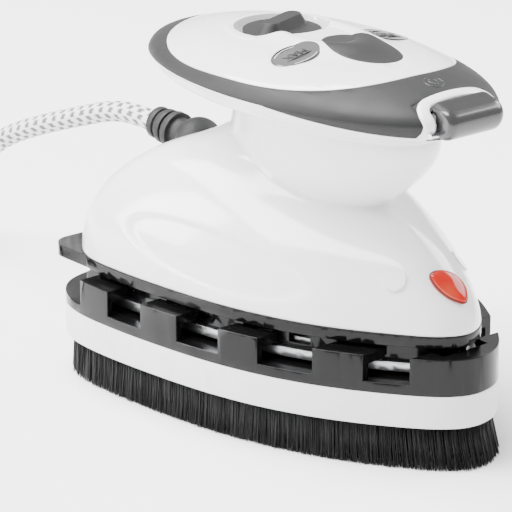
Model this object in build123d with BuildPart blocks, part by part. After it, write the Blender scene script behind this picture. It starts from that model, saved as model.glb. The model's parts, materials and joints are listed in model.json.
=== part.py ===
"""Compact handheld steam iron with a clip-on brush, as an assembly of separate pieces.

Frame: millimetres, +X towards the nose, +Z up, origin under the middle of the object
on the surface that the bristle tips stand on.
"""

import math
import os

from build123d import *

os.makedirs("parts", exist_ok=True)

# ---- driving dimensions ---------------------------------------------------------------
BRISTLE_H = 12.0  # free length of the bristles
RING_H = 9.2  # height of the bristle block's rim
FRAME_Z = BRISTLE_H + RING_H  # underside of the brush frame
FRAME_PLATE = 3.0  # thickness of the frame's floor
SOLE_Z = 25.4  # soleplate's working face
SOLE_EDGE = 2.6  # height of the soleplate's visible edge
SKIRT_Z = 33.0  # underside of the skirt's rim
BODY_Z = 36.2  # lower edge of the white body
WALL = 2.2  # wall of the white mouldings
FRAME_GROW = 5.0  # how far the brush frame stands outside the body's outline
FRAME_WALL = 1.8

BODY_MID = 3.75  # X that the dome's levels shrink towards
BODY_REAR, BODY_NOSE, BODY_HALF = 68.5, 60.55, 40.2
DOME_H = 35.2

NECK_TOP = 86.0
PART_Z = 95.2  # parting line round the handle
HANDLE_X = 2.9
HANDLE_A, HANDLE_B = 62.0, 33.8
CROWN_H = 11.6
CROWN_POWER = 0.56

DIAL_X, DIAL_R = -12.5, 13.5
DIAL_FLOOR = 102.4
BUTTON_X, BUTTON_A, BUTTON_B = 20.6, 13.1, 8.6
WINDOW_X, WINDOW_Y, WINDOW_A, WINDOW_B = 11.9, 16.0, 5.6, 7.0
ROD_R, SHAFT_R = 1.2, 2.0

CAP_HALF, SURROUND_HALF = 9.9, 12.8
SURROUND_X, CAP_X = 54.2, 57.2  # rear edges of the surround and of the cap
PIN_X, PIN_Z, PIN_R = 61.0, 92.8, 0.8

BALL_X, BALL_Z, BALL_R = -49.3, 63.5, 7.0
GUARD_TILT = 4.2  # degrees that the guard rises towards its free end
CORD_D = 6.3
GAP = 0.15  # gap between neighbouring mouldings


def save(piece, name):
    """Labels a finished piece and writes its STEP file."""
    piece.label = name
    export_step(piece, f"parts/{name}.step")


# ---- outlines -------------------------------------------------------------------------
# Half of the body's plan, nose first; the other half is its mirror image.
PLAN = [
    (64.3, 0),
    (61.7, 6.7),
    (54.4, 13.3),
    (40.7, 22.5),
    (23.0, 30.8),
    (3.0, 36.2),
    (-20.0, 39.2),
    (-41.0, 40.2),
    (-55.0, 37.9),
    (-62.4, 31.6),
    (-64.75, 20.0),
    (-64.75, 0),
]


def grown_plan(grow):
    """The half plan with each point moved outwards along its own normal."""
    moved = []
    last = len(PLAN) - 1
    for i, (x, y) in enumerate(PLAN):
        before, after = PLAN[max(i - 1, 0)], PLAN[min(i + 1, last)]
        dx, dy = after[0] - before[0], after[1] - before[1]
        if i in (0, last):
            dx, dy = 0, (1 if i == 0 else -1)
        size = math.hypot(dx, dy)
        moved.append((x + grow * dy / size, y - grow * dx / size))
    return moved


def plan_face(points, z):
    """A face at a height, from half an outline and its mirror image, as one closed curve."""
    far_side = [(x, -y) for x, y in reversed(points[1:-1])]
    with BuildSketch(Plane.XY.offset(z)) as face:
        with BuildLine():
            Spline(*points, *far_side, periodic=True)
        make_face()
    return face.sketch


def plate(low, high, grow, mode=Mode.ADD):
    """The body's plan, grown or shrunk, and extruded between two heights."""
    points = grown_plan(grow) if grow > -2 else dome_points(0, -grow)
    extrude(plan_face(points, low), amount=high - low, mode=mode)


def shrink(height, top, power, root=0.5):
    """How much of its lowest width the dome keeps at a height above its edge."""
    return (1 - (height / top) ** power) ** root


def dome_points(height, inset):
    """The dome's half plan at a height, optionally moved inwards."""
    rear = BODY_MID - BODY_REAR * shrink(height, 42, 2.3) + inset
    nose = BODY_MID + BODY_NOSE * shrink(height, 35.24, 1.78, 0.77) - inset
    half = BODY_HALF * shrink(height, 39, 2.2) - inset
    middle, length = (rear + nose) / 2, nose - rear
    full = PLAN[0][0] - PLAN[-1][0]
    centre = (PLAN[0][0] + PLAN[-1][0]) / 2
    return [(middle + (x - centre) * length / full, y * half / BODY_HALF) for x, y in PLAN]


def dome(inset, mode=Mode.ADD):
    """The body's dome as one loft; the inner one stops lower by the inset."""
    faces = []
    for level in (0, 7, 14, 20, 25, 29, 32.5, DOME_H):
        lowered = level * (DOME_H - inset) / DOME_H
        faces.append(plan_face(dome_points(level, inset), BODY_Z + lowered))
    loft(faces, mode=mode)


def oval(z, x, a, b, y=0):
    """An elliptical face at a height."""
    with BuildSketch(Plane.XY.offset(z)) as face:
        with Locations((x, y)):
            Ellipse(a, b)
    return face.sketch


def oval_prism(x, y, a, b, low, high, mode=Mode.ADD):
    """An elliptical prism between two heights."""
    extrude(oval(low, x, a, b, y), amount=high - low, mode=mode)


def disc(x, y, low, high, radius, mode=Mode.ADD):
    """An upright cylinder between two heights."""
    with Locations((x, y, low)):
        Cylinder(
            radius, high - low, align=(Align.CENTER, Align.CENTER, Align.MIN), mode=mode
        )


def block(low, high, mode=Mode.ADD):
    """A box between two corners."""
    size = [b - a for a, b in zip(low, high)]
    with Locations(tuple(low)):
        Box(*size, align=(Align.MIN, Align.MIN, Align.MIN), mode=mode)


# Neck levels: height, centre X, half length, half width.
NECK = [
    (60.5, -4.8, 28.2, 15.0),
    (64.9, -1.2, 32.0, 16.2),
    (70.7, 3.5, 35.2, 17.1),
    (77.0, 7.8, 37.2, 17.9),
    (NECK_TOP, 9.0, 38.0, 18.3),
]
# Handle underside levels, from the neck's top to the parting line.
TRAY = [
    (NECK_TOP, 9.0, 38.0, 18.3),
    (88.0, 7.2, 46.5, 24.0),
    (90.0, 4.6, 55.0, 29.4),
    (92.4, 3.2, 60.4, 32.5),
    (PART_Z, HANDLE_X, HANDLE_A, HANDLE_B),
]


def neck(inset, mode=Mode.ADD):
    """The neck between the dome and the handle."""
    loft([oval(z, x, a - inset, b - inset) for z, x, a, b in NECK], mode=mode)


def tray(inset, rise, mode=Mode.ADD):
    """The handle's underside; the inner one is moved in and up."""
    faces = []
    for z, x, a, b in TRAY:
        lift = 0 if z in (NECK_TOP, PART_Z) else rise
        faces.append(oval(z + lift, x, a - inset, b - inset))
    loft(faces, mode=mode)


def crown(inset):
    """The handle's domed top as a private solid, flat at the parting line."""
    length, width, height = HANDLE_A - inset, HANDLE_B - inset, CROWN_H - inset
    faces = []
    for ratio in (1.0, 0.97, 0.9, 0.78, 0.6, 0.4, 0.2):
        rise = height * (1 - ratio**2) ** CROWN_POWER
        faces.append(oval(PART_Z + rise, HANDLE_X, length * ratio, width * ratio))
    with BuildPart() as lofted:
        loft(faces)
    return lofted.part


CROWN_OUTER = crown(0)
CROWN_INNER = crown(WALL)


def crown_shell():
    """Adds the handle's domed top as a shell."""
    add(CROWN_OUTER)
    add(CROWN_INNER, mode=Mode.SUBTRACT)


def cover_face(grow):
    """The top cover's plan: an oval that is a little square at its corners."""
    power = 2 / 2.3
    points = []
    for i in range(13):
        turn = math.pi * i / 12
        c, s = math.cos(turn), max(math.sin(turn), 0)
        reach = (44.0 if c > 0 else 46.5) + grow
        points.append((math.copysign(abs(c) ** power, c) * reach, s**power * (31.3 + grow)))
    points[0], points[-1] = (points[0][0], 0), (points[-1][0], 0)
    return plan_face(points, PART_Z - 1)


# ---- body shell -----------------------------------------------------------------------
LENS_PLANE = Plane(
    origin=(BODY_MID + 53.8, -1.5, BODY_Z + 11.7), x_dir=(0.04, 1, 0), z_dir=(0.66, -0.025, 0.75)
)
SCREW_X, SCREW_Y, SCREW_Z = 47.6, 11.8, BODY_Z + 13.6
SCREW_TURN = 53  # degrees from +X to the direction that a screw cover faces


def lens_face(depth, grow):
    """A half-moon lying slanted across the nose, at a distance from the lens plane."""
    upper, lower = (-3.2 - grow, 4.8 + grow), (2.2 + grow, -5.4 - grow)
    with BuildSketch(LENS_PLANE.offset(depth)) as face:
        with BuildLine():
            ThreePointArc(upper, (4.2 + grow, 2.1 + grow), lower)
            ThreePointArc(lower, (-2.4 - grow, -0.9 - grow), upper)
        make_face()
    return face.sketch


def side_round(side, depth, radius):
    """A circle facing outwards under a screw cover, at a distance from the body's wall."""
    turn = math.radians(SCREW_TURN) * side
    out = Vector(math.cos(turn), math.sin(turn), 0.8).normalized()
    origin = Vector(SCREW_X, side * SCREW_Y, SCREW_Z) + out * depth
    with BuildSketch(Plane(origin=origin, z_dir=out)) as face:
        Circle(radius)
    return face.sketch


with BuildPart() as body_shell:
    dome(0)
    neck(0)
    dome(WALL, Mode.SUBTRACT)
    neck(WALL, Mode.SUBTRACT)
    extrude(lens_face(-6, 0.05), amount=12, mode=Mode.SUBTRACT)
    for side in (-1, 1):
        extrude(side_round(side, -0.6, 3.3), amount=6, mode=Mode.SUBTRACT)
    with Locations((BALL_X, 0, BALL_Z)):
        Sphere(BALL_R + 0.4, mode=Mode.SUBTRACT)
save(body_shell.part, "body_shell")

with BuildPart() as screw_covers:
    for side in (-1, 1):
        extrude(side_round(side, -0.5, 3.2), amount=1.0)
save(screw_covers.part, "screw_covers")

with BuildPart() as indicator_lens:
    extrude(lens_face(-2.4, 0), amount=3.4)
save(indicator_lens.part, "indicator_lens")

with BuildPart() as neon_lamp:
    with Locations(Plane(origin=(50.0, -1.0, 43.5), z_dir=(1, 0, 0))):
        Cylinder(2.2, 7)
save(neon_lamp.part, "neon_lamp")

# ---- handle shells --------------------------------------------------------------------
GRIP_START = 18.0  # X where the lower front grip starts at the parting line
GRIP_SLOPE = 5.2  # degrees that its lower edge falls towards the front


def grip_wedge(shift):
    """The sloping zone of the lower front grip, as a private prism."""
    fall = math.tan(math.radians(GRIP_SLOPE))
    reach = 75 - GRIP_START
    with BuildPart() as wedge:
        with BuildSketch(Plane.XZ.offset(-60)):
            with BuildLine():
                Polyline(
                    (GRIP_START, PART_Z + shift),
                    (GRIP_START, PART_Z + 1),
                    (GRIP_START + reach, PART_Z + 1),
                    (GRIP_START + reach, PART_Z + shift - fall * reach),
                    close=True,
                )
            make_face()
        extrude(amount=120)
    return wedge.part


def tray_shell():
    """Adds the handle's underside as a shell."""
    tray(0, 0)
    tray(WALL, 1.8, Mode.SUBTRACT)


with BuildPart() as handle_lower_shell:
    tray_shell()
    add(grip_wedge(-0.1), mode=Mode.SUBTRACT)
    block((CAP_X - 3, -SURROUND_HALF - GAP, PART_Z - 5), (80, SURROUND_HALF + GAP, 120), Mode.SUBTRACT)
save(handle_lower_shell.part, "handle_lower_shell")

with BuildPart() as front_grip_lower:
    tray_shell()
    add(grip_wedge(0), mode=Mode.INTERSECT)
    block((45, -SURROUND_HALF - GAP, 80), (80, SURROUND_HALF + GAP, 120), Mode.SUBTRACT)
save(front_grip_lower.part, "front_grip_lower")

with BuildPart() as handle_grip:
    crown_shell()
    extrude(cover_face(GAP), amount=20, mode=Mode.SUBTRACT)
    block(
        (SURROUND_X - GAP, -SURROUND_HALF - GAP, 80),
        (80, SURROUND_HALF + GAP, 120),
        Mode.SUBTRACT,
    )
save(handle_grip.part, "handle_grip")

with BuildPart() as handle_top_cover:
    crown_shell()
    extrude(cover_face(0), amount=20, mode=Mode.INTERSECT)
    disc(DIAL_X, 0, DIAL_FLOOR - 1.8, DIAL_FLOOR + 3, DIAL_R + 1.6)
    disc(DIAL_X, 0, DIAL_FLOOR, DIAL_FLOOR + 9, DIAL_R, Mode.SUBTRACT)
    disc(DIAL_X, 0, DIAL_FLOOR - 5, DIAL_FLOOR + 5, SHAFT_R + 0.4, Mode.SUBTRACT)
    oval_prism(BUTTON_X, 0, BUTTON_A + 0.25, BUTTON_B + 0.25, PART_Z, 120, Mode.SUBTRACT)
    for side in (-1, 1):
        oval_prism(
            WINDOW_X, side * WINDOW_Y, WINDOW_A + 0.05, WINDOW_B + 0.05, PART_Z, 120, Mode.SUBTRACT
        )
save(handle_top_cover.part, "handle_top_cover")

for side, name in ((-1, "level_window_right"), (1, "level_window_left")):
    with BuildPart() as level_window:
        crown_shell()
        oval_prism(
            WINDOW_X, side * WINDOW_Y, WINDOW_A, WINDOW_B, PART_Z, 120, Mode.INTERSECT
        )
    save(level_window.part, name)

with BuildPart() as filler_surround:
    crown_shell()
    tray_shell()
    block((SURROUND_X, -SURROUND_HALF, PART_Z - 4.9), (80, SURROUND_HALF, 120), Mode.INTERSECT)
    block((CAP_X - 0.3, -CAP_HALF - 0.2, 80), (80, CAP_HALF + 0.2, 120), Mode.SUBTRACT)
    for side in (-1, 1):
        middle = side * (CAP_HALF + SURROUND_HALF + 0.2) / 2
        with Locations((PIN_X - 0.6, middle, PIN_Z)):
            Box(4.4, SURROUND_HALF - CAP_HALF - 0.2, 4.4)
    with Locations(Plane(origin=(PIN_X, 0, PIN_Z), z_dir=(0, 1, 0))):
        Cylinder(PIN_R, 40, mode=Mode.SUBTRACT)
save(filler_surround.part, "filler_surround")

with BuildPart() as cap_hinge_pin:
    with Locations(Plane(origin=(PIN_X, 0, PIN_Z), z_dir=(0, 1, 0))):
        Cylinder(PIN_R, 2 * SURROUND_HALF - 0.6)
save(cap_hinge_pin.part, "cap_hinge_pin")

# ---- filler cap -----------------------------------------------------------------------
CAP_TOP = 99.8

with BuildPart() as filler_cap:
    with BuildSketch(Plane.XZ.offset(-CAP_HALF)):
        with BuildLine():
            Polyline(
                (PIN_X + 1.6, PIN_Z - 1.9),
                (65.6, PIN_Z + 0.6),
                (65.8, 96.0),
                (64.4, 98.6),
                (61.6, CAP_TOP),
                (CAP_X + 0.9, CAP_TOP + 0.5),
                (CAP_X + 0.9, 98.2),
                (61.4, 97.2),
                (62.6, 95.0),
                (62.6, PIN_Z + 1.6),
                (PIN_X + 0.2, PIN_Z + 1.9),
                close=True,
            )
        make_face()
    extrude(amount=2 * CAP_HALF)
    with Locations(Plane(origin=(PIN_X, 0, PIN_Z), z_dir=(0, 1, 0))):
        Cylinder(1.9, 2 * CAP_HALF)
        Cylinder(PIN_R + 0.05, 2 * CAP_HALF + 2, mode=Mode.SUBTRACT)
save(filler_cap.part, "filler_cap")

# ---- temperature dial -----------------------------------------------------------------
FIN_TURN = 110  # degrees from +X to the fin's long axis

with BuildPart() as dial_scale_ring:
    disc(DIAL_X, 0, DIAL_FLOOR + 0.02, DIAL_FLOOR + 0.7, DIAL_R - 0.1)
    disc(DIAL_X, 0, DIAL_FLOOR - 1, DIAL_FLOOR + 2, 9.0, Mode.SUBTRACT)
save(dial_scale_ring.part, "dial_scale_ring")

with BuildPart() as temperature_dial:
    disc(DIAL_X, 0, DIAL_FLOOR + 0.8, DIAL_FLOOR + 2.2, 11.0)
    disc(DIAL_X, 0, DIAL_FLOOR + 0.1, DIAL_FLOOR + 0.9, 8.6)
    with BuildSketch(
        Plane(origin=(DIAL_X, 0, DIAL_FLOOR + 2.1), z_dir=(0, 0, 1)).rotated((0, 0, FIN_TURN))
    ):
        SlotOverall(20.4, 7.4)
    with BuildSketch(
        Plane(origin=(DIAL_X, 0, DIAL_FLOOR + 5.4), z_dir=(0, 0, 1)).rotated((0, 0, FIN_TURN))
    ):
        SlotOverall(16.0, 4.6)
    loft()
    disc(DIAL_X, 0, DIAL_FLOOR - 1, DIAL_FLOOR + 1.8, SHAFT_R + 0.02, Mode.SUBTRACT)
save(temperature_dial.part, "temperature_dial")

with BuildPart() as dial_shaft:
    disc(DIAL_X, 0, 46.2, DIAL_FLOOR + 1.8, SHAFT_R)
save(dial_shaft.part, "dial_shaft")

with BuildPart() as dial_clip:
    disc(DIAL_X, 0, 99.2, 100.2, 4.6)
    disc(DIAL_X, 0, 99.0, 100.5, SHAFT_R + 0.02, Mode.SUBTRACT)
save(dial_clip.part, "dial_clip")

# ---- steam button ---------------------------------------------------------------------
TANK_TOP = 96.5

with BuildPart() as steam_button:
    add(CROWN_OUTER)
    oval_prism(BUTTON_X, 0, BUTTON_A, BUTTON_B, 102.6, 120, Mode.INTERSECT)
    disc(BUTTON_X, 0, 101.8, 103.0, 3.0)
save(steam_button.part, "steam_button")

with BuildPart() as valve_rod:
    disc(BUTTON_X, 0, 39.6, 101.8, ROD_R)
save(valve_rod.part, "valve_rod")

with BuildPart() as button_spring:
    with BuildLine(Plane.XY.offset(TANK_TOP + 0.5)) as coil:
        Helix(pitch=1.4, height=4.2, radius=2.2)
    with BuildSketch(Plane(origin=coil.line @ 0, z_dir=coil.line % 0)):
        Circle(0.35)
    sweep(path=coil.line)
save(button_spring.part.moved(Location((BUTTON_X, 0, 0))), "button_spring")

# ---- water tank and steam path --------------------------------------------------------
TUBE_R = 3.2

with BuildPart() as water_tank:
    oval_prism(25, 0, 24, 19.5, 90.4, TANK_TOP)
    block((44, -7, 92.0), (54.5, 7, 97.6))
    oval_prism(25, 0, 22.8, 18.3, 91.6, TANK_TOP - 1.2, Mode.SUBTRACT)
    block((44, -5.8, 93.2), (56, 5.8, 96.4), Mode.SUBTRACT)
    disc(BUTTON_X, 0, 90.4, TANK_TOP, TUBE_R + 1.2)
    disc(BUTTON_X, 0, 90.0, 92.4, TUBE_R + 0.02, Mode.SUBTRACT)
    disc(BUTTON_X, 0, 90.0, 120, ROD_R + 0.3, Mode.SUBTRACT)
save(water_tank.part, "water_tank")

with BuildPart() as filler_seal:
    block((54.9, -7.4, 92.0), (56.0, 7.4, 96.8))
    block((54.0, -5.8, 93.2), (57.0, 5.8, 95.8), Mode.SUBTRACT)
save(filler_seal.part, "filler_seal")

with BuildPart() as drip_tube:
    disc(BUTTON_X, 0, 45.0, 92.4, TUBE_R)
    disc(BUTTON_X, 0, 44.0, 93.0, ROD_R + 0.6, Mode.SUBTRACT)
save(drip_tube.part, "drip_tube")

# ---- skirt, soleplate and heater ------------------------------------------------------
CHAMBER_TOP = 34.6

with BuildPart() as skirt:
    plate(SKIRT_Z, BODY_Z, 0)
    with BuildSketch(Plane.XY.offset(BODY_Z - 3.5)):
        with Locations((-50.25, 0)):
            RectangleRounded(40.0, 77.4, 6.0)
    extrude(amount=3.5)
    plate(SKIRT_Z - 1.2, BODY_Z + 2, -WALL - 3.6, Mode.SUBTRACT)
    plate(SOLE_Z + SOLE_EDGE, SKIRT_Z, -3.6)
    plate(SOLE_Z + SOLE_EDGE - 1, BODY_Z, -5.6, Mode.SUBTRACT)
    plate(BODY_Z - 0.02, BODY_Z + 2.4, -WALL - 0.7)
    plate(BODY_Z - 1, BODY_Z + 3, -5.6, Mode.SUBTRACT)
    for x in (-52, -40, -19, -8, 12, 23):
        block((x, -50, SOLE_Z + SOLE_EDGE + 1.2), (x + 6, 50, SKIRT_Z - 1), Mode.SUBTRACT)
save(skirt.part, "skirt")

with BuildPart() as soleplate:
    plate(SOLE_Z, SOLE_Z + SOLE_EDGE, -1.2)
    plate(SOLE_Z + SOLE_EDGE - 0.1, SOLE_Z + SOLE_EDGE + 2.2, -6.2)
    plate(SOLE_Z + SOLE_EDGE, SOLE_Z + SOLE_EDGE + 5, -16, Mode.SUBTRACT)
    middle_row = [(46 - 11 * i, 0) for i in range(9)]
    side_rows = [(30 - 13 * i, side * 12) for i in range(6) for side in (-1, 1)]
    for x, y in middle_row + side_rows:
        disc(x, y, SOLE_Z - 1, SOLE_Z + 6, 1.4, Mode.SUBTRACT)
save(soleplate.part, "soleplate")

with BuildPart() as steam_chamber_cover:
    plate(SOLE_Z + SOLE_EDGE + 2.25, SOLE_Z + SOLE_EDGE + 3.75, -10)
    disc(BUTTON_X, 0, 20, 40, 3.0, Mode.SUBTRACT)
save(steam_chamber_cover.part, "steam_chamber_cover")

CHAMBER_Z = SOLE_Z + SOLE_EDGE + 3.8  # top of the chamber cover
with BuildPart() as heating_element:
    for side in (-1, 1):
        with Locations(Plane(origin=(-6, side * 17, CHAMBER_Z + 2.4), z_dir=(1, 0, 0))):
            Cylinder(2.3, 60)
    with BuildSketch(Plane(origin=(24, 17, CHAMBER_Z + 2.4), z_dir=(1, 0, 0))):
        Circle(2.3)
    revolve(axis=Axis((24, 0, CHAMBER_Z + 2.4), (0, 0, 1)), revolution_arc=-180)
save(heating_element.part, "heating_element")

with BuildPart() as element_terminals:
    for side in (-1, 1):
        with Locations((-39.6, side * 17, CHAMBER_Z + 2.4)):
            Box(6.8, 3.2, 0.8)
save(element_terminals.part, "element_terminals")

with BuildPart() as thermostat:
    disc(DIAL_X, 0, CHAMBER_Z + 0.05, CHAMBER_Z + 9, 8.0)
    disc(DIAL_X, 0, CHAMBER_Z + 8, CHAMBER_Z + 14, 4.6)
    disc(DIAL_X, 0, CHAMBER_Z + 11, CHAMBER_Z + 16, SHAFT_R + 0.1, Mode.SUBTRACT)
save(thermostat.part, "thermostat")

with BuildPart() as thermal_fuse:
    with Locations(Plane(origin=(-30, 8, CHAMBER_Z + 2.6), z_dir=(0, 1, 0))):
        Cylinder(2.4, 11)
save(thermal_fuse.part, "thermal_fuse")

with BuildPart() as valve_seat:
    disc(BUTTON_X, 0, CHAMBER_Z - 1.4, 44.9, 2.9)
    disc(BUTTON_X, 0, 35.8, 46, ROD_R + 0.1, Mode.SUBTRACT)
    disc(BUTTON_X, 0, 20, 46, 0.5, Mode.SUBTRACT)
save(valve_seat.part, "valve_seat")

with BuildPart() as soleplate_screws:
    for x, y in ((49, 0), (-36, 26), (-36, -26), (-52, 0)):
        disc(x, y, CHAMBER_Z + 0.05, CHAMBER_Z + 1.6, 2.6)
        disc(x, y, CHAMBER_Z + 1.0, CHAMBER_Z + 1.7, 0.8, Mode.SUBTRACT)
save(soleplate_screws.part, "soleplate_screws")

with BuildPart() as terminal_block:
    block((-48, -12, CHAMBER_Z + 5.2), (-36, 12, CHAMBER_Z + 13))
    for y in (-8, 0, 8):
        disc(-42, y, CHAMBER_Z + 10, CHAMBER_Z + 14, 2.2, Mode.SUBTRACT)
save(terminal_block.part, "terminal_block")

with BuildPart() as swivel_socket:
    with Locations((BALL_X, 0, BALL_Z - 4.2)):
        Cylinder(BALL_R + 2.0, 8.0)
    with Locations((BALL_X, 0, BALL_Z)):
        Sphere(BALL_R + 0.05, mode=Mode.SUBTRACT)
    disc(BALL_X, 0, 40, 80, 3.4, Mode.SUBTRACT)
    dome(WALL + 0.1, Mode.INTERSECT)
save(swivel_socket.part, "swivel_socket")

with BuildPart() as cord_clamp:
    block((BALL_X + 4, -6, CHAMBER_Z + 13.1), (BALL_X + 12, 6, CHAMBER_Z + 16.4))
    for y in (-4, 4):
        disc(BALL_X + 8, y, CHAMBER_Z + 12, CHAMBER_Z + 18, 1.1, Mode.SUBTRACT)
save(cord_clamp.part, "cord_clamp")

# ---- brush attachment -----------------------------------------------------------------
HOOK_TOP = 31.6
# Hooks from rear to front: X of the rear and front edge of each.
HOOKS = [(-47.8, -34.8), (-21.0, -6.9), (8.0, 20.6), (36.0, 48.4)]
NOSE_WALL_X = 58.8
PLATE_TOP = FRAME_Z + FRAME_PLATE

with BuildPart() as brush_frame:
    plate(FRAME_Z, HOOK_TOP, FRAME_GROW)
    plate(PLATE_TOP, HOOK_TOP + 1, FRAME_GROW - FRAME_WALL, Mode.SUBTRACT)
    with BuildPart(mode=Mode.PRIVATE) as lips:
        plate(SOLE_Z + SOLE_EDGE + 0.7, HOOK_TOP, FRAME_GROW - 0.4)
        plate(SOLE_Z, HOOK_TOP + 1, -2.3, Mode.SUBTRACT)
    add(lips.part)
    edges = [-80] + [x for hook in HOOKS for x in hook] + [NOSE_WALL_X]
    for start, end in zip(edges[0::2], edges[1::2]):
        block((start, -60, PLATE_TOP), (end, 60, HOOK_TOP + 2), Mode.SUBTRACT)
    block((NOSE_WALL_X - 2, -8, PLATE_TOP), (63.2, 8, HOOK_TOP + 2), Mode.SUBTRACT)
    for x in (-42, -10, 22):
        block((x, -18, FRAME_Z - 1), (x + 22, 18, PLATE_TOP + 1), Mode.SUBTRACT)
save(brush_frame.part, "brush_frame")

with BuildPart() as bristle_block:
    plate(BRISTLE_H, FRAME_Z, FRAME_GROW)
    plate(BRISTLE_H - 1, FRAME_Z - 5.2, FRAME_GROW - 2.0, Mode.SUBTRACT)
    for x in (-42, -10, 22):
        block((x, -18, 0), (x + 22, 18, FRAME_Z + 1), Mode.SUBTRACT)
save(bristle_block.part, "bristle_block")

with BuildPart() as bristles:
    plate(0, FRAME_Z - 5.25, FRAME_GROW - 2.4)
save(bristles.part, "bristles")

with BuildPart() as brush_screws:
    for x, y in ((52, 0), (-58, 30), (-58, -30)):
        disc(x, y, PLATE_TOP + 0.01, PLATE_TOP + 0.8, 2.2)
        disc(x, y, PLATE_TOP + 0.4, PLATE_TOP + 1, 0.7, Mode.SUBTRACT)
save(brush_screws.part, "brush_screws")

# ---- cord guard, cord and plug --------------------------------------------------------
GUARD_LENGTH = 19.0  # from the ball's centre to the guard's free end
TILT = math.radians(GUARD_TILT)
GUARD_DIR = (-math.cos(TILT), 0, math.sin(TILT))


def on_guard(distance):
    """A plane across the guard, at a distance from the ball's centre."""
    origin = (BALL_X + distance * GUARD_DIR[0], 0, BALL_Z + distance * GUARD_DIR[2])
    return Plane(origin=origin, x_dir=(0, 1, 0), z_dir=GUARD_DIR)


with BuildPart() as cord_guard:
    with Locations((BALL_X, 0, BALL_Z)):
        Sphere(BALL_R)
    with BuildSketch(on_guard(0)):
        Circle(4.3)
    extrude(amount=GUARD_LENGTH)
    for distance, radius in ((9.2, 5.6), (12.8, 5.2), (16.6, 4.8)):
        with BuildSketch(on_guard(distance)):
            Circle(radius)
        extrude(amount=2.2)
    with BuildSketch(on_guard(3.0)):
        Circle(CORD_D / 2 + 0.02)
    extrude(amount=GUARD_LENGTH, mode=Mode.SUBTRACT)
save(cord_guard.part, "cord_guard")

# The cord's route after the guard, to the floor and into the coil.
CORD_R = CORD_D / 2
ROUTE = [
    tuple(on_guard(3.2).origin),
    (-70.0, 0.0, 65.0),
    (-88.0, 0.5, 64.3),
    (-107.0, 0.0, 57.8),
    (-127.0, -0.8, 50.6),
    (-147.0, 0.0, 42.0),
    (-165.0, 0.6, 28.5),
    (-181.0, 0.2, 12.0),
    (-200.0, -0.6, CORD_R + 0.05),
    (-217.0, 0.0, CORD_R + 0.02),
]


def corner_radii(points):
    """Each corner's arc: 0.45 of the shorter run over the tangent of half the turn."""
    radii = []
    for before, here, after in zip(points, points[1:], points[2:]):
        arriving, leaving = Vector(*here) - Vector(*before), Vector(*after) - Vector(*here)
        half_turn = math.radians(arriving.get_angle(leaving)) / 2
        radii.append(0.45 * min(arriving.length, leaving.length) / math.tan(half_turn))
    return radii


RADII = corner_radii(ROUTE)
print("cord radii", [round(r, 1) for r in RADII])

with BuildPart() as cord:
    with BuildLine() as cord_path:
        FilletPolyline(*ROUTE, radius=RADII)
    with BuildSketch(Plane(origin=cord_path.line @ 0, z_dir=cord_path.line % 0)):
        Circle(CORD_R)
    sweep(path=cord_path.line)
CORD_LENGTH = sum(edge.length for edge in cord_path.edges())
SECTION = math.pi * CORD_R**2
VOLUME_RATIO = cord.part.volume / SECTION / CORD_LENGTH
print("cord length", round(CORD_LENGTH, 1), "volume ratio", round(VOLUME_RATIO, 4))
save(cord.part, "cord")

COIL_X, COIL_Y = -224.0, -41.3
COIL_IN, COIL_OUT, COIL_TOP = 25.3, 44.6, 12.8

with BuildPart() as cord_coil:
    disc(COIL_X, COIL_Y, 0.0, COIL_TOP, COIL_OUT)
    fillet(cord_coil.edges().filter_by(GeomType.CIRCLE), 3.0)
    disc(COIL_X, COIL_Y, -1, COIL_TOP + 1, COIL_IN, Mode.SUBTRACT)
save(cord_coil.part, "cord_coil")

TIE_W, TIE_T = 9.0, 0.9
with BuildPart() as coil_tie:
    low = (COIL_X - COIL_OUT - TIE_T, COIL_Y - TIE_W / 2, 0.0)
    high = (COIL_X - COIL_IN + TIE_T, COIL_Y + TIE_W / 2, COIL_TOP + TIE_T)
    block(low, high)
    block(
        (low[0] + TIE_T, low[1] - 1, -1),
        (high[0] - TIE_T, high[1] + 1, high[2] - TIE_T),
        Mode.SUBTRACT,
    )
save(coil_tie.part, "coil_tie")

# The tail leaves the coil's upper outer turn and comes down to the plug on the floor.
PLUG_X, PLUG_Y, PLUG_Z = -166.0, -68.0, 12.0
TAIL = [
    (COIL_X, COIL_Y - 41.3, 9.5),
    (-206.0, -82.0, 9.8),
    (-190.0, -71.5, 11.2),
    (PLUG_X - 9.0, PLUG_Y, PLUG_Z),
]
with BuildPart() as cord_tail:
    with BuildLine() as tail_path:
        FilletPolyline(*TAIL, radius=corner_radii(TAIL))
    with BuildSketch(Plane(origin=tail_path.line @ 0, z_dir=tail_path.line % 0)):
        Circle(CORD_R)
    sweep(path=tail_path.line)
save(cord_tail.part, "cord_tail")

with BuildPart() as plug_body:
    for distance, a, b in ((-9, 5.0, 5.0), (6, 7.0, 7.0), (14, 12.5, 10.0), (30, 18.0, 10.4)):
        with BuildSketch(Plane(origin=(PLUG_X + distance, PLUG_Y, PLUG_Z), z_dir=(1, 0, 0))):
            Ellipse(b, a)
    loft()
    with BuildSketch(Plane(origin=(PLUG_X + 30, PLUG_Y, PLUG_Z), z_dir=(1, 0, 0))):
        Ellipse(10.4, 18.0)
    extrude(amount=6)
save(plug_body.part, "plug_body")

PIN_LENGTH, PIN_SPACING, PLUG_PIN_R = 19.0, 19.0, 2.4
with BuildPart() as plug_pins:
    for side in (-1, 1):
        origin = (PLUG_X + 36, PLUG_Y + side * PIN_SPACING / 2, PLUG_Z)
        with BuildSketch(Plane(origin=origin, z_dir=(1, 0, 0))):
            Circle(PLUG_PIN_R)
        extrude(amount=PIN_LENGTH)
save(plug_pins.part, "plug_pins")
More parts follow.
